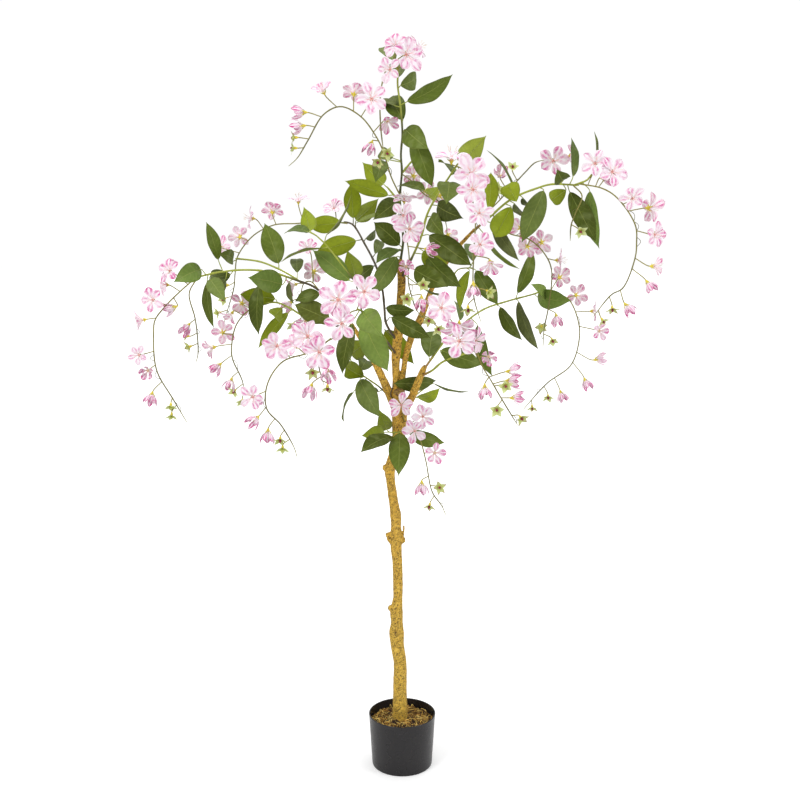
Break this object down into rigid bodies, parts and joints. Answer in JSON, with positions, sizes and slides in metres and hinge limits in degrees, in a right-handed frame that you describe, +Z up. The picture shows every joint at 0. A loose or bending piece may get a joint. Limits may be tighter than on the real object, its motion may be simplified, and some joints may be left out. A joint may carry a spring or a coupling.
{
  "type": "potted flowering tree",
  "caption": "Slender wooden trunk in a round pot, forking into leafy sprays and long hanging racemes of pink and white orchid-tree blooms.",
  "frame": {"origin": "middle of the pot's underside, on the floor it stands on", "axes": "+Z up the trunk, +X to the right as seen from the front, -Y towards the viewer"},
  "size_m": [1.1538, 0.6399, 1.6501],
  "materials": {
    "pot_black": "satin black moulded plastic",
    "cement_grey": "matt poured cement",
    "coir_brown": "matted coir fibre",
    "bark": "ochre bark with dark specks and knots",
    "leaf_green": "woven leaf, dark above and olive below",
    "petal_pink": "white to magenta petals on grey-green wire stems"
  },
  "bodies": {
    "root": {"cement_fill": "cement_grey", "coir_top": "coir_brown", "pot": "pot_black", "raceme_back": "petal_pink", "raceme_back_left": "petal_pink", "raceme_crown": "petal_pink", "raceme_far_left": "petal_pink", "raceme_far_right": "petal_pink", "raceme_front_centre": "petal_pink", "raceme_front_left": "petal_pink", "raceme_front_low": "petal_pink", "raceme_front_right": "petal_pink", "raceme_left_inner": "petal_pink", "raceme_left_small": "petal_pink", "raceme_right_inner": "petal_pink", "raceme_right_low": "petal_pink", "raceme_right_small": "petal_pink", "raceme_right_top": "petal_pink", "raceme_top_left": "petal_pink", "raceme_trunk": "petal_pink", "raceme_upper_left": "petal_pink", "spray_fork_leaf": "leaf_green", "spray_fork_right": "leaf_green", "spray_front_left": "leaf_green", "spray_front_right": "leaf_green", "spray_front_top": "leaf_green", "spray_leader": "leaf_green", "spray_left_arm": "leaf_green", "spray_left_fork": "leaf_green", "spray_left_low": "leaf_green", "spray_lower_left": "leaf_green", "spray_right_arm": "leaf_green", "spray_right_low": "leaf_green", "spray_right_mid": "leaf_green", "spray_trunk_shoot": "leaf_green", "spray_upper_left": "leaf_green", "trunk": "bark"}
  },
  "joints": []
}
